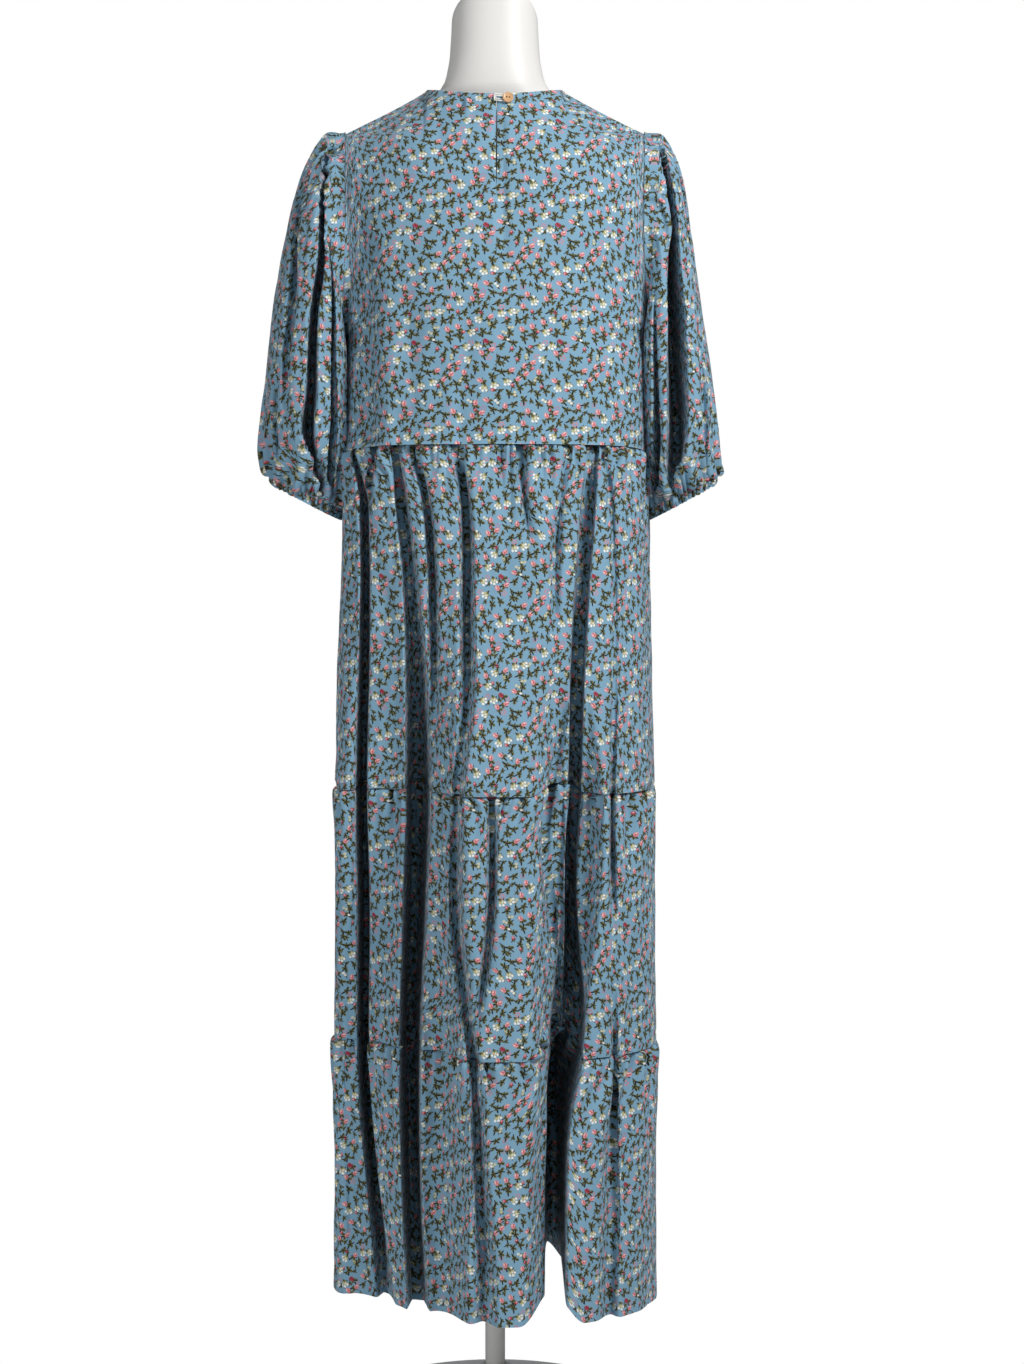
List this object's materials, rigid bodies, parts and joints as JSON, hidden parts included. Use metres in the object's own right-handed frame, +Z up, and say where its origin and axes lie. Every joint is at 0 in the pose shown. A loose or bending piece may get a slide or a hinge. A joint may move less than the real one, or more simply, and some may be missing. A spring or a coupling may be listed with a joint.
{
  "type": "tiered maxi dress on dress form",
  "caption": "Loose tiered maxi dress with round neck, gathered elbow sleeves, elastic cuffs and buttoned back slit, worn by a limbless dress form on a round stand.",
  "frame": {"origin": "on the floor under the middle of the stand's base, where the part stands", "axes": "+Z up; the wearer's front towards -Y and the buttoned back towards +Y; +X is the wearer's left"},
  "size_m": [0.496, 0.4122, 1.5503],
  "materials": {
    "printed_cloth": "dusty blue woven cloth with a small scattered print of rosebuds, white blossom and dark leaves",
    "button_wood": "light turned wood, satin",
    "white_thread": "white sewing thread and covered elastic",
    "form_shell": "off-white moulded shell, satin",
    "stand_enamel": "off-white enamel, satin"
  },
  "bodies": {
    "root": {"bodice_front": "printed_cloth", "bodice_back": "printed_cloth", "tier_1_front": "printed_cloth", "tier_1_back": "printed_cloth", "tier_2_front": "printed_cloth", "tier_2_back": "printed_cloth", "tier_3_front": "printed_cloth", "tier_3_back": "printed_cloth", "sleeve_left": "printed_cloth", "sleeve_right": "printed_cloth", "cuff_left": "printed_cloth", "cuff_right": "printed_cloth", "button": "button_wood", "button_thread": "white_thread", "button_loop": "white_thread", "form_torso": "form_shell", "stand_pole": "stand_enamel", "stand_collar": "stand_enamel", "stand_base": "stand_enamel"}
  },
  "joints": []
}
